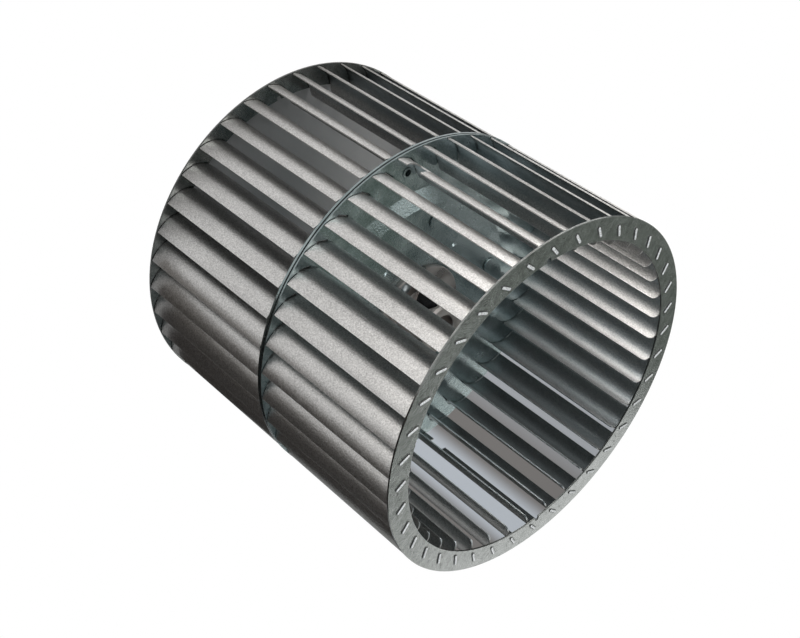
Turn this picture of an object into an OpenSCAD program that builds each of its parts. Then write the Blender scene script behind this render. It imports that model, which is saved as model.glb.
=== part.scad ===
// Double-inlet blower wheel of galvanised sheet steel, standing on its lower end ring.
// Two rows of curved blades run from the end rings to two centre discs set back to back.
// Every blade is a separate strip whose end tabs pass through slots and are staked over.
// The origin is on the wheel's axis, at the height of the lowest staked tabs.

/* [Wheel] */
// Outside radius of the end rings and centre discs
rim_r = 120; // [110:0.5:150]
// Clear width between an end ring and the centre disc of its half
half_gap = 112.2; // [60:0.1:160]
// Width of an end ring, from its rim to the inlet eye
ring_w = 14.5; // [13.5:0.1:17]
// Number of blades in each half
blade_count = 38; // [28:1:42]
// Turn of the lower row of blades against the upper row, in degrees
row_offset = 2.35; // [0:0.05:4.5]

/* [Sheet metal] */
// Thickness of the end rings
ring_t = 1.2; // [0.8:0.1:2]
// Thickness of the centre discs
disc_t = 0.9; // [0.7:0.1:1.5]
// Thickness of the blades
blade_t = 0.8; // [0.6:0.05:1]

/* [Blades] */
// Distance from the blades' outer edges to the rim
tip_inset = 0.6; // [0.3:0.1:1.5]
// Depth of the blades, from their outer edges towards the axis
blade_depth = 18.6; // [16:0.1:24]
// Angle that a blade curves through, in degrees
blade_turn = 82.7; // [70:0.1:90]
// Angle of the first upper blade's inner edge, in degrees
first_blade_angle = 6.2; // [0:0.1:9]
// Radius of the blades' rounded inner corners
corner_r = 3.5; // [1:0.5:6]
// Gap left at a blade's end on either side of its seat
end_relief = 0.4; // [0.2:0.1:1]

/* [Tabs] */
// Distance from the rim to the middle of the tabs
tab_inset = 8.2; // [7:0.1:9.5]
// Width of a tab along the blade
tab_w = 7.8; // [6:0.1:9]
// Width of the blade's seat beside the tab
seat_w = 1.6; // [0.8:0.1:2.4]
// Clearance round a tab in its slot
slot_clearance = 0.15; // [0.05:0.05:0.3]
// Extra width of the discs' slots on the side that a blade bulges towards
disc_slot_ease = 0.7; // [0:0.1:0.9]
// Width of the bead that a staked tab is rolled into
bead_w = 2.2; // [2:0.1:2.8]
// Distance of the bead's middle from the middle of the blade's sheet
bead_shift = 0.5; // [0.3:0.05:0.6]
// Height of the beads on the end rings
ring_bead_h = 1; // [0.6:0.1:1]
// Height of the beads between the centre discs
disc_bead_h = 1; // [0.8:0.1:1.2]
// Clearance between the two discs' beads
stake_clearance = 0.4; // [0.2:0.1:1]

/* [Centre discs] */
// Width of the discs' flat rims
flat_w = 30; // [26:0.5:34]
// Gap between the lower disc's turned-up edge and the upper disc
edge_gap = 1.1; // [0.6:0.1:1.4]
// Width of the slope between a disc's flat rim and its raised middle
slope_w = 13; // [8:0.5:18]
// Height of the upper disc's raised middle above its rim
dish_h = 2; // [1:0.1:4]
// Number of pressed joints round the discs
joint_count = 5; // [3:1:8]
// Distance from the edge of the raised middle to the pressed joints
joint_inset = 12.2; // [8:0.1:16]
// Diameter of a pressed joint's button
joint_d = 9.6; // [8:0.1:12]
// Height of a pressed joint's button
joint_h = 1.2; // [0.8:0.1:2]
// Angle of the first pressed joint, in degrees
joint_angle = -73; // [-100:1:-50]
// Distance from the hub's flange to the locating pips
pip_gap = 15; // [8:0.1:17]
// Angle of the first locating pip, in degrees
pip_angle = -101; // [-120:1:-90]
// Diameter of a locating pip
pip_d = 4; // [3:0.1:5]

/* [Index marks] */
// Angle of the index notches, index holes and set screw, in degrees
index_angle = -56; // [-58:0.5:-54]
// Width of the notch in the inner edge of an end ring
notch_w = 3.3; // [2:0.1:4]
// Depth of the notch in the inner edge of an end ring
notch_depth = 2.8; // [2:0.1:3.2]
// Distance from the rim to the index holes in the upper centre disc
index_inset = 14; // [12:0.1:18]
// Diameter of an index hole
index_hole_d = 4.5; // [3:0.1:5]
// Height of the raised lip round an index hole
index_lip_h = 0.6; // [0.3:0.1:1]

/* [Hub] */
// Diameter of the shaft bore
bore_d = 20; // [12:1:30]
// Thickness of the barrel's wall
hub_wall = 7.7; // [7:0.1:12]
// Height of the barrel above the set screw's head
barrel_rise = 3.8; // [1.9:0.1:10]
// Width of the chamfer round the barrel's top
hub_chamfer = 1.5; // [0.5:0.1:1.8]
// Width of the flange beyond the barrel
flange_w = 15.7; // [14:0.1:18]
// Thickness of the hub's flange
flange_t = 3; // [2:0.1:5]
// Wall of the spigot that passes through the discs
spigot_wall = 4; // [3:0.1:6]
// Clearance round the spigot in the discs
spigot_clearance = 0.1; // [0.05:0.05:0.2]
// Width of the lip that holds the spigot under the discs
swage_w = 1.6; // [0.8:0.1:2.4]
// Height of the lip that holds the spigot under the discs
swage_h = 1.4; // [0.8:0.1:2]

/* [Fasteners] */
// Number of rivets round the hub's flange
rivet_count = 3; // [3:1:6]
// Angle of the first rivet, in degrees
rivet_angle = -36; // [-45:1:-30]
// Distance from the flange's edge to the middle of the rivets
rivet_inset = 5.7; // [5:0.1:7]
// Diameter of a rivet's shank
rivet_d = 5; // [4:0.1:6]
// Clearance round a rivet's shank
rivet_clearance = 0.1; // [0.05:0.05:0.2]
// Diameter of a rivet's heads
rivet_head_d = 8.4; // [7:0.1:9.4]
// Height of a rivet's heads
rivet_head_h = 2; // [1.2:0.1:2.4]
// Thread diameter of the set screw
screw_d = 8; // [6:0.5:9]
// Clearance round the set screw in the hub
screw_clearance = 0.05; // [0.03:0.01:0.15]
// Width across the flats of the set screw's head
screw_head_w = 13; // [11:0.5:14]
// Height of the set screw's head
screw_head_h = 5.3; // [4:0.1:6]
// Gap between the set screw's head and the hub's flange
screw_gap = 2.8; // [0.6:0.1:4]
// Distance that the set screw's point stays short of the shaft
screw_back = 0.5; // [0.2:0.1:1.5]
// Length of the blade notches that let a key reach the set screw
key_notch_len = 11.6; // [8:0.1:14]
// Distance that the blade notches lie below the line of the set screw
key_notch_drop = 1.5; // [0:0.1:3]
// Distance from a tab's middle to the root of a blade notch
key_notch_root = 1.5; // [0:0.1:3]

/* [Hidden] */
$fn = 96;
galvanised = [0.66, 0.68, 0.67];
bright_zinc = [0.74, 0.77, 0.78];
blade_grey = [0.60, 0.60, 0.59];
turned_steel = [0.72, 0.70, 0.68];
black_oxide = [0.10, 0.10, 0.11];

// Radii worked out from the rim inwards
eye_r = rim_r - ring_w;
tip_r = rim_r - tip_inset;
blade_inner_r = tip_r - blade_depth;
tab_r = rim_r - tab_inset;
dish_outer_r = rim_r - flat_w;
dish_inner_r = dish_outer_r - slope_w;
joint_r = dish_inner_r - joint_inset;
index_hole_r = rim_r - index_inset;
pitch = 360 / blade_count;

// Radius of the arc that starts out radial and reaches the tip radius after its full turn
turn_rise = 1 - cos(blade_turn);
blade_curve_r = (sqrt(pow(blade_inner_r * sin(blade_turn), 2)
    + 2 * turn_rise * (pow(tip_r, 2) - pow(blade_inner_r, 2)))
    - blade_inner_r * sin(blade_turn)) / (2 * turn_rise);

// Angle along a blade's curve at which it crosses a radius of the wheel
function curve_angle(r) = atan(blade_curve_r / blade_inner_r)
    + asin((pow(r, 2) - pow(blade_inner_r, 2) - 2 * pow(blade_curve_r, 2))
        / (2 * blade_curve_r * norm([blade_inner_r, blade_curve_r])));
tab_turn = curve_angle(tab_r);

// Places of the blade's edges along the straight line that touches its curve at the tab
inner_u = -blade_curve_r * sin(tab_turn);
tip_u = blade_curve_r * sin(blade_turn - tab_turn);

// A curved tab needs a slot that is wider than its sheet by the rise of its arc
tab_rise = blade_curve_r - sqrt(pow(blade_curve_r, 2) - pow(tab_w / 2, 2));
slot_w = blade_t + tab_rise + 2 * slot_clearance;
slot_len = tab_w + 2 * slot_clearance;
bead_len = slot_len + 0.2;
tab_root = 0.1;

// Depth that a raised feature reaches into the piece that it stands on
root = 0.4;

// Heights from the lowest staked tab upwards
rim_gap = 2 * disc_bead_h + stake_clearance;
lower_ring_z = ring_bead_h;
lower_blade_z = lower_ring_z + ring_t;
lower_disc_z = lower_blade_z + half_gap;
upper_disc_z = lower_disc_z + disc_t + rim_gap;
upper_blade_z = upper_disc_z + disc_t;
upper_ring_z = upper_blade_z + half_gap;
middle_z = upper_blade_z + dish_h;

// The lower disc's edge is bent up round a small radius and stops short of the upper disc
edge_h = disc_t + rim_gap - edge_gap;
edge_bend_r = 0.3;

// Sizes of the hub, whose flange lies on the raised middle of the upper disc
bore_r = bore_d / 2;
hub_r = bore_r + hub_wall;
flange_r = hub_r + flange_w;
spigot_r = bore_r + spigot_wall;
disc_stack = 2 * disc_t;
edge_break = 0.6;
hub_fillet = 1;
screw_head_r = screw_head_w / sqrt(3);
screw_rise = flange_t + screw_gap + screw_head_r;
hub_h = screw_rise + screw_head_r + barrel_rise;
spot_r = sqrt(pow(hub_r, 2) - pow(screw_head_r, 2)) - 0.1;
rivet_r = flange_r - rivet_inset;
pip_r = flange_r + pip_gap;
pip_h = pip_d / 5;

// A pressed joint is a button in the upper disc over a smaller one in the lower disc
joint_wall = 0.8;
joint_play = 0.05;
joint_bevel = 0.4;
index_lip_w = 1.2;

// Numbers of the two blades whose outer halves lie across the set screw's line
key_blades = [for (side = [0, 180])
    (floor((index_angle + side - first_blade_angle) / pitch) + blade_count) % blade_count];

pair_count = ceil(blade_count / 2);
function two_digits(n) = n < 10 ? str("0", n) : str(n);
function pair_name(row, n) = str("blade_pair_", row, "_", two_digits(n));

// Turns and shifts its children to each of a ring of evenly spaced places
module around(count, radius, first = 0) {
    for (i = [0 : count - 1])
        rotate([0, 0, first + i * 360 / count])
            translate([radius, 0, 0])
                children();
}

// Moves its children to the middle of a tab, with X along it and Y to the blade's hollow side
module at_tab(blade_angle) {
    rotate([0, 0, blade_angle])
        translate([blade_inner_r - inner_u, blade_curve_r * (1 - cos(tab_turn)), 0])
            rotate([0, 0, tab_turn])
                children();
}

// Slots for one row of tabs, through a sheet that lies from z = 0 to z = t
module tab_slots(first, t, ease) {
    for (i = [0 : blade_count - 1])
        at_tab(first + i * pitch)
            translate([-slot_len / 2, -blade_t / 2 - slot_clearance - ease, -1])
                cube([slot_len, slot_w + ease, t + 2]);
}

// Section of one blade seen from its tab: an arc of sheet with its hollow side towards +Y
module blade_section() {
    reach = 2 * blade_curve_r;
    translate([0, blade_curve_r])
        rotate(-tab_turn)
            intersection() {
                difference() {
                    circle(r = blade_curve_r + blade_t / 2);
                    circle(r = blade_curve_r - blade_t / 2);
                }
                polygon([[0, 0], [0, -reach], [reach * tan(blade_turn / 2), -reach],
                         [reach * sin(blade_turn), -reach * cos(blade_turn)]]);
            }
}

// What is cut away to round a corner of the blank that lies at the origin
module corner_waste() {
    difference() {
        translate([-1, -1])
            square(corner_r + 1);
        translate([corner_r, corner_r])
            circle(r = corner_r);
    }
}

// Outline of the strip that a blade is cut from: X across its tabs, Y up its height
module blade_blank(low_t, high_t, notched) {
    seat_half = tab_w / 2 + seat_w;
    difference() {
        union() {
            translate([inner_u - 1, end_relief])
                square([tip_u - inner_u + 2, half_gap - 2 * end_relief]);
            translate([-seat_half, 0])
                square([2 * seat_half, half_gap]);
            translate([-tab_w / 2, -low_t - tab_root])
                square([tab_w, half_gap + low_t + high_t + 2 * tab_root]);
        }
        translate([inner_u, end_relief])
            corner_waste();
        translate([inner_u, half_gap - end_relief])
            mirror([0, 1])
                corner_waste();
        if (notched)
            translate([key_notch_root, dish_h + screw_rise - key_notch_drop - key_notch_len / 2])
                square([tip_u + 1, key_notch_len]);
    }
}

// Low rounded bead on a flat face at z = 0, which a tab's end is rolled into
module bead(h) {
    curve_r = (pow(bead_w / 2, 2) + pow(h, 2)) / (2 * h);
    end_x = bead_len / 2 - bead_w / 2;
    intersection() {
        translate([0, bead_shift, h - curve_r]) {
            rotate([0, 90, 0])
                cylinder(r = curve_r, h = 2 * end_x, center = true);
            for (x = [-end_x, end_x])
                translate([x, 0, 0])
                    sphere(r = curve_r);
        }
        translate([-bead_len, -bead_len, 0])
            cube([2 * bead_len, 2 * bead_len, h + 1]);
    }
}

// One blade seen from its tab, with z = 0 at the sheet that its lower end stands on
module blade(low_t, high_t, low_bead, high_bead, notched) {
    intersection() {
        translate([0, 0, -low_t - tab_root])
            linear_extrude(half_gap + low_t + high_t + 2 * tab_root)
                blade_section();
        rotate([90, 0, 0])
            linear_extrude(2 * blade_curve_r, center = true)
                blade_blank(low_t, high_t, notched);
    }
    translate([0, 0, half_gap + high_t])
        bead(high_bead);
    translate([0, 0, -low_t])
        mirror([0, 0, 1])
            bead(low_bead);
}

// Two neighbouring blades of the lower row
module blade_pair_lower(n) {
    color(blade_grey)
        translate([0, 0, lower_blade_z])
            for (i = [2 * n - 2 : min(2 * n, blade_count) - 1])
                at_tab(first_blade_angle + row_offset + i * pitch)
                    blade(ring_t, disc_t, ring_bead_h, disc_bead_h, false);
}

// Two neighbouring blades of the upper row
module blade_pair_upper(n) {
    color(blade_grey)
        translate([0, 0, upper_blade_z])
            for (i = [2 * n - 2 : min(2 * n, blade_count) - 1])
                at_tab(first_blade_angle + i * pitch)
                    blade(disc_t, ring_t, disc_bead_h, ring_bead_h,
                          i == key_blades[0] || i == key_blades[1]);
}

// Flat ring round an inlet eye, with slots for one row of tabs and two index notches
module end_ring() {
    difference() {
        cylinder(r = rim_r, h = ring_t);
        translate([0, 0, -1])
            cylinder(r = eye_r, h = ring_t + 2);
        tab_slots(first_blade_angle, ring_t, 0);
        around(2, eye_r + notch_depth - notch_w / 2, index_angle) {
            translate([0, 0, -1])
                cylinder(d = notch_w, h = ring_t + 2);
            translate([-notch_depth, -notch_w / 2, -1])
                cube([notch_depth, notch_w, ring_t + 2]);
        }
    }
}

module end_ring_lower() {
    color(galvanised)
        translate([0, 0, lower_ring_z])
            rotate([0, 0, row_offset])
                end_ring();
}

module end_ring_upper() {
    color(galvanised)
        translate([0, 0, upper_ring_z])
            end_ring();
}

// Pressed sheet with a flat rim, a sloping band and a raised middle, standing on its rim
module dished_sheet(rise, sheet_r) {
    hole_r = spigot_r + spigot_clearance;
    rotate_extrude()
        polygon([[hole_r, rise], [dish_inner_r, rise], [dish_outer_r, 0], [sheet_r, 0],
                 [sheet_r, disc_t], [dish_outer_r, disc_t],
                 [dish_inner_r, rise + disc_t], [hole_r, rise + disc_t]]);
}

// Edge of a sheet, bent up from the flat through a quarter circle
module turned_edge() {
    outer_r = disc_t + edge_bend_r;
    bend = [for (a = [0 : 15 : 90]) [sin(a), -cos(a)]];
    rotate_extrude()
        translate([rim_r - outer_r, outer_r])
            polygon(concat([for (p = bend) p * outer_r],
                           [[outer_r, edge_h - outer_r], [edge_bend_r, edge_h - outer_r]],
                           [for (i = [6 : -1 : 0]) bend[i] * edge_bend_r]));
}

// Round button with a bevelled edge, standing on z = 0
module button(d, h) {
    cylinder(d = d, h = h - joint_bevel);
    translate([0, 0, h - joint_bevel])
        cylinder(d1 = d, d2 = d - 2 * joint_bevel, h = joint_bevel);
}

// Shallow dome that rises h above z = 0, where it is d wide, and is cut off at the given depth
module dome(d, h, depth) {
    curve_r = (pow(d / 2, 2) + pow(h, 2)) / (2 * h);
    intersection() {
        translate([0, 0, h - curve_r])
            sphere(r = curve_r);
        translate([0, 0, -depth])
            cylinder(r = d, h = depth + h + 1);
    }
}

module centre_disc_upper() {
    top = dish_h + disc_t;
    cavity_d = joint_d - 2 * joint_wall;
    color(bright_zinc)
        translate([0, 0, upper_disc_z])
            difference() {
                union() {
                    dished_sheet(dish_h, rim_r);
                    around(joint_count, joint_r, joint_angle)
                        translate([0, 0, top - root])
                            button(joint_d, joint_h + root);
                    around(joint_count, pip_r, pip_angle)
                        translate([0, 0, top])
                            dome(pip_d, pip_h, root);
                    around(2, index_hole_r, index_angle)
                        translate([0, 0, disc_t - root])
                            cylinder(d = index_hole_d + 2 * index_lip_w, h = index_lip_h + root);
                }
                around(joint_count, joint_r, joint_angle)
                    translate([0, 0, dish_h - 1])
                        cylinder(d = cavity_d, h = joint_h + disc_t - joint_wall + 1);
                around(rivet_count, rivet_r, rivet_angle)
                    cylinder(d = rivet_d + 2 * rivet_clearance, h = top + 1);
                around(2, index_hole_r, index_angle)
                    translate([0, 0, -1])
                        cylinder(d = index_hole_d, h = disc_t + index_lip_h + 2);
                tab_slots(first_blade_angle, disc_t, disc_slot_ease);
            }
}

module centre_disc_lower() {
    rise = dish_h + rim_gap;
    top = rise + disc_t;
    boss_d = joint_d - 2 * joint_wall - 2 * joint_play;
    boss_h = joint_h + disc_t - joint_wall;
    color(bright_zinc)
        translate([0, 0, lower_disc_z])
            difference() {
                union() {
                    dished_sheet(rise, rim_r - disc_t - edge_bend_r);
                    turned_edge();
                    around(joint_count, joint_r, joint_angle)
                        translate([0, 0, top - root])
                            cylinder(d = boss_d, h = boss_h + root);
                }
                around(joint_count, joint_r, joint_angle)
                    translate([0, 0, rise - 1])
                        cylinder(d = boss_d - 2 * joint_wall, h = boss_h + disc_t - joint_wall + 1);
                around(rivet_count, rivet_r, rivet_angle)
                    cylinder(d = rivet_d + 2 * rivet_clearance, h = top + 1);
                tab_slots(first_blade_angle + row_offset, disc_t, disc_slot_ease);
            }
}

// Turned hub with a flange above the discs and a spigot swaged over below them
module hub() {
    foot_z = -disc_stack - swage_h;
    color(turned_steel)
        translate([0, 0, middle_z])
            difference() {
                rotate_extrude()
                    polygon([[bore_r + edge_break, foot_z], [spigot_r + swage_w - edge_break, foot_z],
                             [spigot_r + swage_w, foot_z + edge_break],
                             [spigot_r + swage_w, -disc_stack], [spigot_r, -disc_stack],
                             [spigot_r, 0], [flange_r, 0],
                             [flange_r, flange_t - edge_break], [flange_r - edge_break, flange_t],
                             [hub_r + hub_fillet, flange_t], [hub_r, flange_t + hub_fillet],
                             [hub_r, hub_h - hub_chamfer], [hub_r - hub_chamfer, hub_h],
                             [bore_r + edge_break, hub_h], [bore_r, hub_h - edge_break],
                             [bore_r, foot_z + edge_break]]);
                around(rivet_count, rivet_r, rivet_angle)
                    translate([0, 0, -1])
                        cylinder(d = rivet_d + 2 * rivet_clearance, h = flange_t + 2);
                translate([0, 0, screw_rise])
                    rotate([0, 0, index_angle])
                        rotate([0, 90, 0]) {
                            cylinder(d = screw_d + 2 * screw_clearance, h = hub_r + 1);
                            translate([0, 0, spot_r])
                                cylinder(r = screw_head_r + 0.3, h = hub_r);
                        }
            }
}

// Rivets through the flange and both discs, with a low round head at either end
module hub_rivets() {
    color(bright_zinc)
        translate([0, 0, middle_z])
            around(rivet_count, rivet_r, rivet_angle) {
                translate([0, 0, -disc_stack - root])
                    cylinder(d = rivet_d, h = disc_stack + flange_t + 2 * root);
                translate([0, 0, flange_t])
                    dome(rivet_head_d, rivet_head_h, 0);
                translate([0, 0, -disc_stack])
                    mirror([0, 0, 1])
                        dome(rivet_head_d, rivet_head_h, 0);
            }
}

// Hexagon-headed set screw, screwed in from the side to grip the shaft
module set_screw() {
    point_r = bore_r + screw_back;
    color(black_oxide)
        translate([0, 0, middle_z + screw_rise])
            rotate([0, 0, index_angle])
                rotate([0, 90, 0]) {
                    translate([0, 0, point_r])
                        cylinder(d = screw_d, h = spot_r - point_r + root);
                    intersection() {
                        translate([0, 0, spot_r])
                            cylinder(r = screw_head_r, h = screw_head_h, $fn = 6);
                        translate([0, 0, spot_r])
                            cylinder(r1 = screw_head_r + screw_head_h, r2 = screw_head_w / 2 - 0.2,
                                     h = screw_head_h);
                    }
                }
}

end_ring_lower();
end_ring_upper();
centre_disc_lower();
centre_disc_upper();
hub();
hub_rivets();
set_screw();
for (n = [1 : pair_count]) {
    blade_pair_lower(n);
    blade_pair_upper(n);
}
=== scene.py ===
# %% [markdown]
# # A blower wheel of galvanised sheet
#
# The wheel is the rotor of a ventilator: two rows of curved blades between two end rings and a pair
# of discs, with a turned hub in the middle. Every solid comes from the imported model, so this
# script gives the wheel its light, its camera and its metals. The first cell loads the solids.

# %% Load the measured solids
import math

import bpy
from mathutils import Matrix, Vector

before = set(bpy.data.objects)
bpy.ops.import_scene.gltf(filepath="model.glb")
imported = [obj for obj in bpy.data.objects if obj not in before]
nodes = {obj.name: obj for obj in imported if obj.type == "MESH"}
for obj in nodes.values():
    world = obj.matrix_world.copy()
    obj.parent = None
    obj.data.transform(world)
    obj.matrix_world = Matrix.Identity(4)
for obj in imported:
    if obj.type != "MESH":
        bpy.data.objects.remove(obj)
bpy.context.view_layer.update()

# %% [markdown]
# ## Camera
#
# The photograph looks into the open end from above with a tilted camera, so that the shaft's line
# runs down to the right. A camera is a place and three directions: what is right, what is up,
# and what is behind it. They were worked out from the outlines of the wheel's rims, which are
# circles in the real world and ellipses in the picture, and they're more exact than aiming by eye.

# %% The camera
PICTURE_W = 800
FOCAL_PX = 1316.5
SENSOR_MM = 36.0
CAMERA_PLACE = Vector((0.64638, -0.23099, 0.5969))
CAMERA_RIGHT = Vector((-0.64143, -0.38648, 0.66272))
CAMERA_UP = Vector((0.03241, -0.87672, -0.47990))


def set_camera():
    """Makes the scene's camera at the photograph's place, tilt and field of view."""
    lens = bpy.data.cameras.new("camera")
    lens.sensor_fit = "HORIZONTAL"
    lens.sensor_width = SENSOR_MM
    lens.lens = SENSOR_MM * FOCAL_PX / PICTURE_W
    camera = bpy.data.objects.new("camera", lens)
    behind = CAMERA_RIGHT.cross(CAMERA_UP)
    turn = Matrix((CAMERA_RIGHT, CAMERA_UP, behind)).transposed().to_4x4()
    camera.matrix_world = Matrix.Translation(CAMERA_PLACE) @ turn
    bpy.context.scene.collection.objects.link(camera)
    bpy.context.scene.camera = camera
    return camera


camera = set_camera()
bpy.context.scene.view_settings.view_transform = "Standard"
print("camera:", round(camera.data.lens, 1), "mm lens at", [round(v, 3) for v in CAMERA_PLACE])

# %% [markdown]
# ## Shader maths
#
# A metal's finish is a sum of small patterns, such as grain, stains and scratches, and each one
# is a node. Joining dozens of nodes by hand hides the idea behind the wiring. So one small class
# wraps a socket and lends it Python's operators, and `1 - grain * 0.3` then adds its two Math
# nodes. Colours don't go through Math nodes, which would turn them grey, so `tint` mixes two
# colours by a value.

# %% A socket with operators
# The Mix node has sockets of the same name for numbers and colours, so these are told by number
MIX_FACTOR, MIX_A, MIX_B, MIX_RESULT = 0, 6, 7, 2


class Wire:
    """An output socket, on which plain arithmetic adds the Math nodes that it needs."""

    def __init__(self, socket):
        self.socket = socket
        self.tree = socket.id_data

    def node(self, kind, settings=None, inputs=None, output=0):
        """Adds any other node to the same tree and returns its output."""
        return add_node(self.tree, kind, settings, inputs, output)

    def maths(self, operation, *others):
        """Adds a Math node that takes this socket first."""
        settings = {"operation": operation}
        return self.node("ShaderNodeMath", settings, dict(enumerate((self, *others))))

    def __add__(self, other):
        return self.maths("ADD", other)

    def __sub__(self, other):
        return self.maths("SUBTRACT", other)

    def __rsub__(self, other):
        return self.node("ShaderNodeMath", {"operation": "SUBTRACT"}, {0: other, 1: self})

    def __mul__(self, other):
        return self.maths("MULTIPLY", other)

    __radd__ = __add__
    __rmul__ = __mul__

    def between(self, low, high):
        """Rises smoothly from 0 to 1 as the value goes from low to high."""
        settings = {"interpolation_type": "SMOOTHSTEP"}
        inputs = {"Value": self, "From Min": low, "From Max": high}
        return self.node("ShaderNodeMapRange", settings, inputs)

    def tint(self, dark, light):
        """A colour that goes from dark to light as the value goes from 0 to 1."""
        settings = {"data_type": "RGBA"}
        inputs = {MIX_FACTOR: self, MIX_A: dark, MIX_B: light}
        return self.node("ShaderNodeMix", settings, inputs, MIX_RESULT)


def add_node(tree, kind, settings=None, inputs=None, output=0):
    """Adds a node, sets its settings first and then its sockets, and returns one output."""
    made = tree.nodes.new(kind)
    for name, value in (settings or {}).items():
        setattr(made, name, value)
    for name, value in (inputs or {}).items():
        if isinstance(value, Wire):
            tree.links.new(value.socket, made.inputs[name])
        else:
            made.inputs[name].default_value = value
    return Wire(made.outputs[output])


def paint(red, green, blue):
    """A colour as a screen shows it, 0 to 255, turned into the light values that Blender uses."""
    shares = [c / 255 for c in (red, green, blue)]
    return [c / 12.92 if c <= 0.04045 else ((c + 0.055) / 1.055) ** 2.4 for c in shares] + [1]


print("a mid grey of 128 is", round(paint(128, 128, 128)[0], 3), "of full light")

# %% [markdown]
# ## Patterns in the metal
#
# Galvanised sheet is grey steel with a skin of zinc. Seen close, the zinc has a fine grain like
# orange peel, larger flower-like crystals, and dull stains where hands and oil have been. All of
# them are noise of different sizes. Noise could be laid out on an unrolled picture of each piece,
# but the wheel's own coordinates in metres need no unrolling, keep the grain one size all over,
# and stay on the metal in every view.

# %% Noise in metres
def place_on_wheel(tree, stretch=(1, 1, 1)):
    """The point of the wheel that is being coloured, in metres, with each axis stretched."""
    point = add_node(tree, "ShaderNodeTexCoord", output="Object")
    settings = {"operation": "MULTIPLY"}
    return point.node("ShaderNodeVectorMath", settings, {0: point, 1: stretch})


def height_on_wheel(tree):
    """Height above the lowest staked tabs, in metres."""
    point = place_on_wheel(tree)
    return point.node("ShaderNodeSeparateXYZ", None, {"Vector": point}, "Z")


def noise(point, size, detail=2.0, rough=0.5):
    """Cloudy noise from 0 to 1 whose lumps are about size metres across."""
    inputs = {"Vector": point, "Scale": 1 / size, "Detail": detail, "Roughness": rough}
    return point.node("ShaderNodeTexNoise", None, inputs)


def bump(height, metres):
    """A normal bent by a height pattern that is metres deep from 0 to 1."""
    return height.node("ShaderNodeBump", None, {"Distance": metres, "Height": height})


print("noise is laid out in metres")

# %% [markdown]
# ## Edges and corners
#
# Sheet metal shows its age where it is touched: edges are rubbed bright, and they also carry a
# painted highlight. Corners are darkened by a painted shade. Both could be painted by hand on each
# of the 76 blades. Instead the shader finds them from the shape, so that every piece gets them in
# the right places. An edge is where a rounded normal differs from the real one, and a corner is
# where little open air is near.

# %% Edges of wear and painted highlight, corners of painted shade
def edge_wear_and_highlight(tree, width):
    """Rises to 1 within width metres of sharp edges, which get wear and a painted highlight."""
    rounded = add_node(tree, "ShaderNodeBevel", {"samples": 8}, {"Radius": width})
    true = add_node(tree, "ShaderNodeNewGeometry", output="Normal")
    settings = {"operation": "DOT_PRODUCT"}
    same = true.node("ShaderNodeVectorMath", settings, {0: rounded, 1: true}, "Value")
    return (1 - same).between(0.02, 0.2)


def painted_corner_shade(tree, reach, start=0.25, end=0.9):
    """Painted shade, rising to 1 in corners where little space within reach metres is open."""
    settings = {"samples": 6}
    open_air = add_node(tree, "ShaderNodeAmbientOcclusion", settings, {"Distance": reach}, "AO")
    return (1 - open_air).between(start, end)


print("edges and corners are found from the shape")

# %% The start and end of every finish
def metal(name, metallic):
    """A new material with its shader, to which a finish adds its patterns."""
    made = bpy.data.materials.new(name)
    made.use_nodes = True
    shader = made.node_tree.nodes["Principled BSDF"]
    shader.inputs["Metallic"].default_value = metallic
    return made, made.node_tree, shader


def wire_up(shader, **patterns):
    """Joins each pattern to the shader's socket of that name."""
    for name, pattern in patterns.items():
        socket = shader.inputs[name.replace("_", " ")]
        shader.id_data.links.new(pattern.socket, socket)


print("a finish starts with metal() and ends with wire_up()")

# %% [markdown]
# ## The blades' finish
#
# The blades are the dullest sheet of the wheel: a warm grey with a fine grain that sparkles where
# the curve turns away from the light, and bright lines where the strip was sheared, made by wear
# and a painted highlight. The grain is given as bump as well as colour, because it is the tilt of
# the small facets that catches light. The hollow side gets a darker, bluish painted shade, and
# painted shade darkens the corners. The tabs' ends were rolled over by a steel roller, which
# polished their crowns; a painted highlight lies on each crown and a painted shade round each
# bead's foot. Height is all that tells a bead from the strip below it, so height picks out both.

# %% Blades
SHEET_METALLIC = 0.92
# Heights of the end rings' outer faces, and how far beyond them a bead's foot and crown lie
RING_LOW, RING_HIGH = 0.0010, 0.2320
FOOT_RISE = 0.0001
CROWN_START, CROWN_END = 0.0005, 0.00065


def hollow_side(tree):
    """Rises to 1 where a surface faces the shaft, as the hollow side of a blade does."""
    point = place_on_wheel(tree, (1, 1, 0))
    outward = point.node("ShaderNodeVectorMath", {"operation": "NORMALIZE"}, {0: point})
    normal = add_node(tree, "ShaderNodeNewGeometry", output="Normal")
    inputs = {0: outward, 1: normal}
    facing = point.node("ShaderNodeVectorMath", {"operation": "DOT_PRODUCT"}, inputs, "Value")
    return 1 - facing.between(-0.6, -0.1)


def past_the_rings(height, start, end):
    """Rises to 1 from start to end metres outside the outer faces of the two end rings."""
    above = height.between(RING_HIGH + start, RING_HIGH + end)
    below = 1 - height.between(RING_LOW - end, RING_LOW - start)
    return above + below


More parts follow.
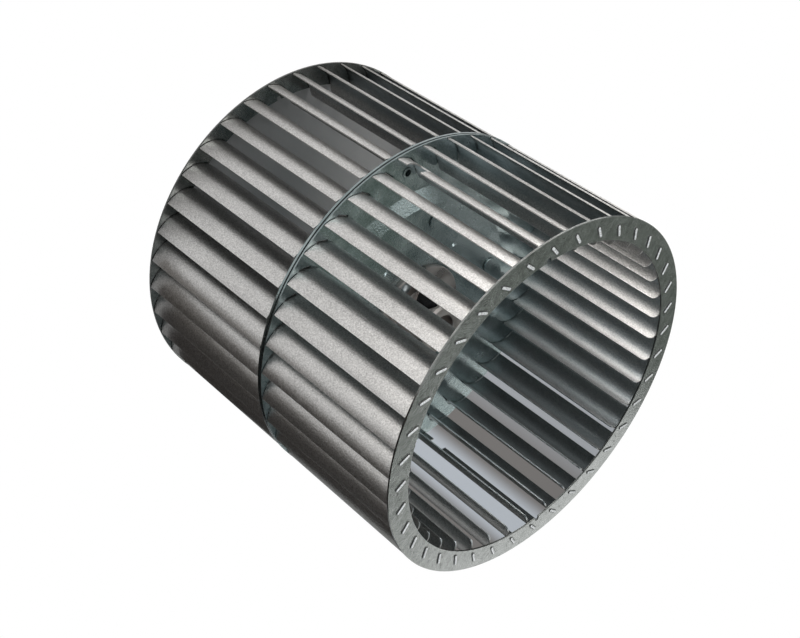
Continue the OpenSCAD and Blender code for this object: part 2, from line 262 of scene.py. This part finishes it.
def finish_blades():
    """Fine grain, bright sheared edges, painted light and shade on the hollow side and beads."""
    made, tree, shader = metal("galvanised_blade", SHEET_METALLIC)
    point = place_on_wheel(tree)
    height = height_on_wheel(tree)
    staked = past_the_rings(height, 0, FOOT_RISE)
    crown = past_the_rings(height, CROWN_START, CROWN_END)
    grain = noise(point, size=0.0009, detail=1.0).between(0.2, 0.8)
    sparkle = noise(point, size=0.0005, detail=1.0).between(0.2, 0.8)
    streaks = noise(place_on_wheel(tree, (1, 1, 0.1)), size=0.003)
    clouds = noise(point, size=0.03)
    wear_and_highlight = edge_wear_and_highlight(tree, width=0.00035)
    shade = grain * 0.4 + sparkle * 0.3 + streaks * 0.1 + clouds * 0.2
    skin = shade.tint(paint(120, 119, 118), paint(226, 225, 223))
    # Painted shade: the side that faces the shaft is tinted darker and bluer
    skin = (hollow_side(tree) * 0.6).tint(skin, paint(92, 112, 120))
    # Painted shade in the corners between blades, rings and discs
    skin = (painted_corner_shade(tree, reach=0.004) * 0.5).tint(skin, paint(56, 62, 62))
    # Sheared edges made bright by wear and by a painted highlight
    skin = (wear_and_highlight * 0.85).tint(skin, paint(238, 237, 235))
    # Painted shade over each bead below its crown, and a painted highlight on the crown
    skin = staked.tint(skin, paint(58, 60, 58))
    colour = crown.tint(skin, paint(244, 247, 248))
    roughness = 0.28 + grain * 0.10 - wear_and_highlight * 0.05 - staked * 0.05
    normal = bump(grain * 0.5 + sparkle * 0.5, metres=0.00008)
    # Less metallic on edges and crowns, so that their painted highlights stay bright
    metallic = SHEET_METALLIC - wear_and_highlight * 0.5 - crown * 0.5
    wire_up(shader, Base_Color=colour, Roughness=roughness, Metallic=metallic, Normal=normal)
    return made


blade_finish = finish_blades()
print("finish:", blade_finish.name, len(blade_finish.node_tree.nodes), "nodes")

# %% [markdown]
# ## The rings' finish
#
# The end rings are pressed from a brighter sheet, smooth enough to mirror the blades faintly. They
# carry broad crystals, dark specks and scuffs from handling, and their sheared edges, the upright
# faces, are duller than the sheet. A crystal is a cell of a Voronoi pattern, which has one value
# all over, and a level face is told from an upright one by its normal.

# %% Rings
def crystals(point, size):
    """A value from 0 to 1 that is the same all over each zinc crystal."""
    inputs = {"Vector": point, "Scale": 1 / size}
    cell = point.node("ShaderNodeTexVoronoi", None, inputs, "Color")
    return cell.node("ShaderNodeSeparateColor", None, {"Color": cell})


def stood_up(tree):
    """Rises from 0 on level faces to 1 on upright ones, such as the sheared edges of a ring."""
    normal = add_node(tree, "ShaderNodeNewGeometry", output="Normal")
    level = normal.node("ShaderNodeSeparateXYZ", None, {"Vector": normal}, "Z").maths("ABSOLUTE")
    return 1 - level.between(0.3, 0.8)


def finish_rings():
    """Crystals, specks and scuffs on a smooth sheet, dull edges, painted shade at the slots."""
    made, tree, shader = metal("galvanised_ring", SHEET_METALLIC)
    point = place_on_wheel(tree)
    flowers = crystals(point, size=0.006)
    grain = noise(point, size=0.0011, detail=1.0).between(0.3, 0.7)
    scuffs = noise(place_on_wheel(tree, (1, 0.5, 1)), size=0.004, detail=4.0, rough=0.65)
    wear_and_highlight = edge_wear_and_highlight(tree, width=0.0004)
    shade = flowers * 0.15 + grain * 0.35 + scuffs.between(0.3, 0.7) * 0.5
    skin = shade.tint(paint(158, 162, 159), paint(204, 207, 205))
    # Edges a little brighter with wear and a painted highlight
    skin = (wear_and_highlight * 0.15).tint(skin, paint(220, 222, 220))
    skin = (stood_up(tree) * 0.7).tint(skin, paint(96, 98, 96))
    specks = noise(point, size=0.0022, detail=3.0, rough=0.6).between(0.62, 0.68)
    skin = (specks * 0.6).tint(skin, paint(96, 98, 94))
    # Painted shade round the beads and in the slots
    colour = painted_corner_shade(tree, reach=0.0012, start=0.06, end=0.4).tint(skin, paint(50, 52, 50))
    roughness = 0.12 + scuffs * 0.14
    normal = bump(grain * 0.4 + scuffs * 0.6, metres=0.00005)
    wire_up(shader, Base_Color=colour, Roughness=roughness, Normal=normal)
    return made


ring_finish = finish_rings()
print("finish:", ring_finish.name, len(ring_finish.node_tree.nodes), "nodes")

# %% [markdown]
# ## The discs' finish
#
# The centre discs are the brightest and coolest sheet. Broad smears and crystals show on their flat
# middle, and painted shade lies along the roots of the blades and round the pressed joints. They
# take the rings' patterns in larger sizes and cooler colours, so that the two sheets look related.

# %% Discs
def finish_discs():
    """Smears and crystals on a cool, bright sheet."""
    made, tree, shader = metal("galvanised_disc", metallic=0.95)
    point = place_on_wheel(tree)
    grain = noise(point, size=0.0013, detail=1.0).between(0.3, 0.7)
    smears = noise(point, size=0.018, detail=4.0, rough=0.6).between(0.3, 0.7)
    crystal = crystals(point, size=0.009)
    wear_and_highlight = edge_wear_and_highlight(tree, width=0.0004)
    shade = smears * 0.5 + crystal * 0.2 + grain * 0.3
    skin = shade.tint(paint(158, 176, 177), paint(218, 231, 232))
    # Edges brighter with wear and a painted highlight
    skin = (wear_and_highlight * 0.5).tint(skin, paint(222, 228, 228))
    skin = (stood_up(tree) * 0.6).tint(skin, paint(70, 78, 78))
    # Painted shade along the roots of the blades and round the pressed joints
    corner_shade = painted_corner_shade(tree, reach=0.002, start=0.08, end=0.5) * 0.6
    colour = corner_shade.tint(skin, paint(44, 52, 52))
    roughness = 0.16 + smears * 0.12
    normal = bump(grain, metres=0.00003)
    wire_up(shader, Base_Color=colour, Roughness=roughness, Normal=normal)
    return made


disc_finish = finish_discs()
print("finish:", disc_finish.name, len(disc_finish.node_tree.nodes), "nodes")

# %% [markdown]
# ## The hub's finish
#
# The hub is turned on a lathe, which leaves fine rings round its axis. The rings are a wave of the
# distance from the axis on its flat faces, and of the height on its barrel. The rivets are plated
# and the set screw is blackened. Both are small, so cloudy colour and edges made bright by wear and
# a painted highlight are enough.

# %% Hub
LATHE_FEED = 0.0007


def radius_on_wheel(tree):
    """Distance from the wheel's axis, in metres."""
    flat = place_on_wheel(tree, (1, 1, 0))
    settings = {"operation": "LENGTH"}
    return flat.node("ShaderNodeVectorMath", settings, {0: flat}, "Value")


def finish_hub():
    """Lathe rings and smears of oil on turned steel."""
    made, tree, shader = metal("turned_steel", metallic=0.95)
    point = place_on_wheel(tree)
    feed = radius_on_wheel(tree) + height_on_wheel(tree)
    lathe = (feed * (2 * math.pi / LATHE_FEED)).maths("SINE")
    smears = noise(point, size=0.012, detail=3.0).between(0.3, 0.7)
    wear_and_highlight = edge_wear_and_highlight(tree, width=0.0006)
    skin = smears.tint(paint(182, 175, 171), paint(214, 208, 204))
    # Edges bright with wear and a painted highlight
    colour = wear_and_highlight.tint(skin, paint(235, 232, 230))
    roughness = 0.26 + smears * 0.12
    normal = bump(lathe, metres=0.00002)
    wire_up(shader, Base_Color=colour, Roughness=roughness, Normal=normal)
    return made


hub_finish = finish_hub()
print("finish:", hub_finish.name, len(hub_finish.node_tree.nodes), "nodes")

# %% Rivets and set screw
def finish_small(name, dark, light, rough, metallic):
    """A small fastener: fine grain, cloudy colour, edges of wear and painted highlight."""
    made, tree, shader = metal(name, metallic)
    point = place_on_wheel(tree)
    grain = noise(point, size=0.0008, detail=3.0)
    clouds = noise(point, size=0.004)
    wear_and_highlight = edge_wear_and_highlight(tree, width=0.0004)
    # Edges brighter with wear and a painted highlight
    colour = (clouds * 0.6 + grain * 0.2 + wear_and_highlight * 0.5).between(0.2, 0.9).tint(dark, light)
    roughness = rough + grain * 0.15
    normal = bump(grain, metres=0.00004)
    wire_up(shader, Base_Color=colour, Roughness=roughness, Normal=normal)
    return made


rivet_finish = finish_small(
    "plated_rivet", paint(150, 156, 158), paint(205, 210, 210), rough=0.25, metallic=0.9)
screw_finish = finish_small(
    "black_oxide", paint(14, 14, 16), paint(70, 70, 74), rough=0.35, metallic=0.6)
print("finishes:", rivet_finish.name, screw_finish.name)

# %% [markdown]
# ## Dressing the solids
#
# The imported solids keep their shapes, and only the material in each one's slot is changed. There
# are 45 of them, but the start of a name tells what kind of piece it is, so a short table is
# enough. What isn't in the table is the hub.

# %% Put the finishes on the solids
FINISH_OF = {
    "end_ring": ring_finish,
    "centre_disc": disc_finish,
    "blade_pair": blade_finish,
    "hub_rivets": rivet_finish,
    "set_screw": screw_finish,
}


def dress(name, solid):
    """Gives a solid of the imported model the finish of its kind, in all of its slots."""
    kinds = [kind for kind in FINISH_OF if name.startswith(kind)]
    finish = FINISH_OF[kinds[0]] if kinds else hub_finish
    for place in solid.material_slots:
        place.material = finish
    return finish.name


dressed = [dress(name, solid) for name, solid in nodes.items()]
print({finish: dressed.count(finish) for finish in sorted(set(dressed))})

# %% [markdown]
# ## White room
#
# The picture's background is white, and metal mirrors it. A white world at full strength would
# light the wheel far too much, so the world is white only for the rays that show the background:
# camera, glossy and transmitted ones. Diffuse light gets less than half of it.

# %% World
DIFFUSE_LEVEL = 0.45


def background_rays(tree):
    """1 for rays that show the background itself: camera, glossy and transmitted ones."""
    path = tree.nodes.new("ShaderNodeLightPath")
    camera_ray, glossy_ray, clear_ray = (
        Wire(path.outputs[name])
        for name in ("Is Camera Ray", "Is Glossy Ray", "Is Transmission Ray")
    )
    return camera_ray.maths("MAXIMUM", glossy_ray).maths("MAXIMUM", clear_ray)


def make_world(level):
    """A white world that shines at the given level on surfaces that aren't mirrors."""
    world = bpy.data.worlds.new("white_room")
    world.use_nodes = True
    tree = world.node_tree
    sky = tree.nodes["Background"]
    sky.inputs["Color"].default_value = (1, 1, 1, 1)
    strength = level + background_rays(tree) * (1 - level)
    tree.links.new(strength.socket, sky.inputs["Strength"])
    bpy.context.scene.world = world
    return world


world = make_world(DIFFUSE_LEVEL)
print("world:", world.name, "at", DIFFUSE_LEVEL, "for diffuse light")

# %% [markdown]
# ## Floor
#
# The wheel stands on a pale floor that fades to the white of the backdrop. The part that the wheel
# hides from the camera stays a real surface: the light hardly reaches it, so it looks grey through
# the blades, and the light that falls between them lies on it in soft streaks. Letting the lamps
# draw those streaks would take hard lamps, which would spoil the soft light on the metal, so they
# are painted on the floor, by their direction as seen from the spot below the camera.

# %% Which part of the floor the wheel hides
RIM_R = 0.12
# Angles in degrees at which a streak begins, is full, begins to fade and is gone
NARROW_STREAK = (153.3, 154.2, 155.5, 156.4)
WIDE_STREAK = (157.4, 160.0)


def outside_shade(tree):
    """Distance outside the part of the floor that the wheel hides from the camera, in metres."""
    lift = CAMERA_PLACE.z / (CAMERA_PLACE.z - RING_HIGH)
    end = Vector((CAMERA_PLACE.x, CAMERA_PLACE.y, 0)) * (1 - lift)
    point = place_on_wheel(tree, (1, 1, 0))
    inputs = {0: point, 1: end / end.length_squared}
    share = point.node("ShaderNodeVectorMath", {"operation": "DOT_PRODUCT"}, inputs, "Value")
    share = share.maths("MAXIMUM", 0).maths("MINIMUM", 1)
    inputs = {0: end, "Scale": share}
    middle = point.node("ShaderNodeVectorMath", {"operation": "SCALE"}, inputs)
    inputs = {0: point, 1: middle}
    from_middle = point.node("ShaderNodeVectorMath", {"operation": "DISTANCE"}, inputs, "Value")
    return from_middle - RIM_R * (1 + share * (lift - 1))


def shadow_streaks(tree):
    """Light let through the blades, in streaks that fan out from the floor below the camera."""
    point = place_on_wheel(tree)
    inputs = {0: point, 1: Vector((CAMERA_PLACE.x, CAMERA_PLACE.y, 0))}
    from_foot = point.node("ShaderNodeVectorMath", {"operation": "SUBTRACT"}, inputs)
    x = from_foot.node("ShaderNodeSeparateXYZ", None, {"Vector": from_foot}, "X")
    y = from_foot.node("ShaderNodeSeparateXYZ", None, {"Vector": from_foot}, "Y")
    turn = y.maths("ARCTAN2", x) * (180 / math.pi)
    begin, full, fade, gone = NARROW_STREAK
    narrow = turn.between(begin, full) - turn.between(fade, gone)
    wide = turn.between(*WIDE_STREAK)
    return narrow + wide * 0.6


print("the wheel's rim is", RIM_R, "m from its axis, and its top", RING_HIGH, "m high")

# %% The floor
FLOOR_R = 0.75
FLOOR_Z = -0.0002
# The floor turns white just inside the wheel's outline, so that no grey shows beyond it
WHITE_FROM, WHITE_TO = -0.012, -0.001


def finish_floor():
    """Matt and pale, with streaks near the wheel, and white wherever it is background."""
    made = bpy.data.materials.new("pale_floor")
    made.use_nodes = True
    tree = made.node_tree
    shader = tree.nodes["Principled BSDF"]
    streaks = shadow_streaks(tree).tint(paint(146, 143, 141), paint(222, 230, 239))
    inner_floor = 1 - radius_on_wheel(tree).between(RIM_R, RIM_R + 0.1)
    pale = inner_floor.tint(streaks, paint(206, 207, 208))
    tree.links.new(pale.socket, shader.inputs["Base Color"])
    shader.inputs["Roughness"].default_value = 0.9
    away = outside_shade(tree).between(WHITE_FROM, WHITE_TO)
    glow = tree.nodes.new("ShaderNodeEmission")
    mix = tree.nodes.new("ShaderNodeMixShader")
    camera_ray = add_node(tree, "ShaderNodeLightPath", output="Is Camera Ray")
    open_floor = radius_on_wheel(tree).between(RIM_R + 0.001, RIM_R + 0.03)
    white = away * background_rays(tree) * camera_ray.maths("MAXIMUM", open_floor)
    tree.links.new(white.socket, mix.inputs[0])
    tree.links.new(shader.outputs[0], mix.inputs[1])
    tree.links.new(glow.outputs[0], mix.inputs[2])
    tree.links.new(mix.outputs[0], tree.nodes["Material Output"].inputs["Surface"])
    return made


def make_floor():
    """A round floor under the wheel whose rim fades into the white of the world."""
    ring = [
        (FLOOR_R * math.cos(math.radians(a)), FLOOR_R * math.sin(math.radians(a)), FLOOR_Z)
        for a in range(0, 360, 4)
    ]
    mesh = bpy.data.meshes.new("floor")
    mesh.from_pydata(ring, [], [tuple(range(len(ring)))])
    floor = bpy.data.objects.new("floor", mesh)
    bpy.context.scene.collection.objects.link(floor)
    mesh.materials.append(finish_floor())
    return floor


floor = make_floor()
print("floor:", floor.name, "with a radius of", FLOOR_R, "m")

# %% [markdown]
# ## Cards for the metal to mirror
#
# Metal shows what is around it more than it shows its own colour. In a room that is white all
# round, bright zinc would look like paper. A photographer sets grey and black cards outside the
# picture for it to mirror: that is what draws the dark bands along each blade. Here each card is a
# mesh that only glossy rays see, so it neither shades the wheel nor shows itself. Painting the
# bands on the blades would be simpler, but they would stay put when the wheel is turned.

# %% Making a card
def polar(radius, azimuth, height):
    """A point given by its distance from the wheel's axis, its direction and its height."""
    turn = math.radians(azimuth)
    return radius * math.cos(turn), radius * math.sin(turn), height


def make_card(name, rows, colour):
    """A card of four-cornered faces, out of the picture, which only reflections see."""
    wide = len(rows[0])
    faces = [
        (i * wide + j, i * wide + j + 1, (i + 1) * wide + j + 1, (i + 1) * wide + j)
        for i in range(len(rows) - 1)
        for j in range(wide - 1)
    ]
    mesh = bpy.data.meshes.new(name)
    mesh.from_pydata([point for row in rows for point in row], [], faces)
    card = bpy.data.objects.new(name, mesh)
    bpy.context.scene.collection.objects.link(card)
    made = bpy.data.materials.new(name)
    made.use_nodes = True
    tree = made.node_tree
    glow = add_node(tree, "ShaderNodeEmission", None, {"Color": colour})
    tree.links.new(glow.socket, tree.nodes["Material Output"].inputs["Surface"])
    mesh.materials.append(made)
    card.visible_camera = card.visible_shadow = False
    card.visible_diffuse = card.visible_transmission = False
    return card


print("a card is seen by glossy rays alone")

# %% [markdown]
# ## Cards on the floor
#
# The outer sides of the blades mirror the floor round the wheel. One grey card all round would be
# simpler, but then all the blades would look alike. So each wedge of the floor has its own grey,
# and each blade gets the level that the photograph shows at its place on the wheel.

# %% Floor cards
# First and last angle in degrees, height of the outer edge in metres, and colour
FLOOR_CARDS = [
    (10, 20, 0.003, paint(120, 116, 112)),
    (20, 30, 0.20, paint(66, 61, 57)),
    (30, 72, 0.40, paint(44, 40, 38)),
    (72, 86, 0.30, paint(44, 44, 44)),
    (86, 108, 0.003, paint(180, 182, 182)),
    (108, 128, 0.30, paint(64, 66, 66)),
    (128, 178, 0.40, paint(66, 68, 68)),
    (178, 206, 0.40, paint(100, 102, 102)),
    (206, 228, 0.30, paint(146, 148, 148)),
]
CARD_IN, CARD_FOLD, CARD_OUT = 0.126, 0.7, 1.0
CARD_LIFT = 0.003
CARD_FACES = 6


def floor_card(number, start, end, rise, colour):
    """A wedge of card that lies on the floor round the wheel and may stand up behind it."""
    turns = [start + (end - start) * i / CARD_FACES for i in range(CARD_FACES + 1)]
    edges = ((CARD_IN, CARD_LIFT), (CARD_FOLD, CARD_LIFT), (CARD_OUT, rise))
    rows = [[polar(radius, turn, height) for turn in turns] for radius, height in edges]
    return make_card(f"floor_card_{number}", rows, colour)


floor_cards = [floor_card(i + 1, *card) for i, card in enumerate(FLOOR_CARDS)]
print(len(floor_cards), "cards on the floor")

# %% [markdown]
# ## Cards in the air
#
# The hollow sides of the blades, the discs and the rings mirror what hangs above and beside the
# wheel: dull green cards behind it, a pale one on its left, and dark bluish ones over it and on
# the camera's side. They hang far away, so that neighbouring blades mirror nearly the same part
# of them, and are given by directions, which is how a mirror sees them.

# %% Sky cards
SKY_R = 4
SKY_MIDDLE = 0.2


def sky_card(name, azimuths, heights, colour):
    """A curved card that hangs far from the wheel, between two angles above the floor."""
    rows = []
    for height in heights:
        flat = SKY_R * math.cos(math.radians(height))
        rise = SKY_MIDDLE + SKY_R * math.sin(math.radians(height))
        rows.append([polar(flat, azimuth, rise) for azimuth in azimuths])
    return make_card(name, rows, colour)


back_green = paint(100, 106, 100)
sky_cards = [
    sky_card("back_card", range(142, 179, 6), (29.5, 38, 46, 54, 62, 70, 78), back_green),
    sky_card("low_back_card", (163, 170, 178), (4, 12, 20, 29.5), back_green),
    sky_card("left_card", range(185, 240, 6), range(10, 67, 8), paint(165, 172, 170)),
    sky_card("top_card", range(-180, 181, 20), (79, 84, 90), paint(60, 74, 80)),
    sky_card("front_card", range(-45, 106, 10), range(16, 73, 8), paint(62, 76, 80)),
]
print(len(sky_cards), "cards in the air")

# %% [markdown]
# ## Lamps
#
# Seen from the camera, with the wheel upright, the light is soft and comes from low on the left,
# with a broad lamp overhead. Large rectangles give soft light. They stay weak, at one or two
# watts, because a colour should render about as it is written, and the brightest parts of the
# metal come from the white room that it mirrors.

# %% Soft lamps
WHEEL_MIDDLE = Vector((0, 0, 0.116))
WARM, FAINTLY_WARM, WHITE = (1.0, 0.96, 0.92), (1.0, 0.97, 0.94), (1, 1, 1)


def soft_lamp(name, place, width, height, watts, colour):
    """A rectangular lamp that faces the middle of the wheel."""
    data = bpy.data.lights.new(name, "AREA")
    data.color = colour
    data.shape, data.size, data.size_y, data.energy = "RECTANGLE", width, height, watts
    lamp = bpy.data.objects.new(name, data)
    lamp.location = place
    lamp.visible_camera = False
    aim = WHEEL_MIDDLE - Vector(place)
    lamp.rotation_mode = "QUATERNION"
    lamp.rotation_quaternion = aim.to_track_quat("-Z", "Y")
    bpy.context.scene.collection.objects.link(lamp)
    return lamp


lamps = [
    soft_lamp("key_lamp", (0.37, -0.36, 0.10), width=0.8, height=0.2, watts=0.75, colour=WARM),
    soft_lamp("left_lamp", (-0.08, -0.55, 0.10), width=0.6, height=0.2, watts=2.2, colour=WARM),
    soft_lamp(
        "side_lamp", (0.20, -1.11, 0.64), width=0.6, height=0.6, watts=2.4, colour=FAINTLY_WARM),
    soft_lamp("top_lamp", (0.1, 0.2, 1.3), width=0.8, height=0.8, watts=2.0, colour=WHITE),
]
print("lamps:", [lamp.name for lamp in lamps])
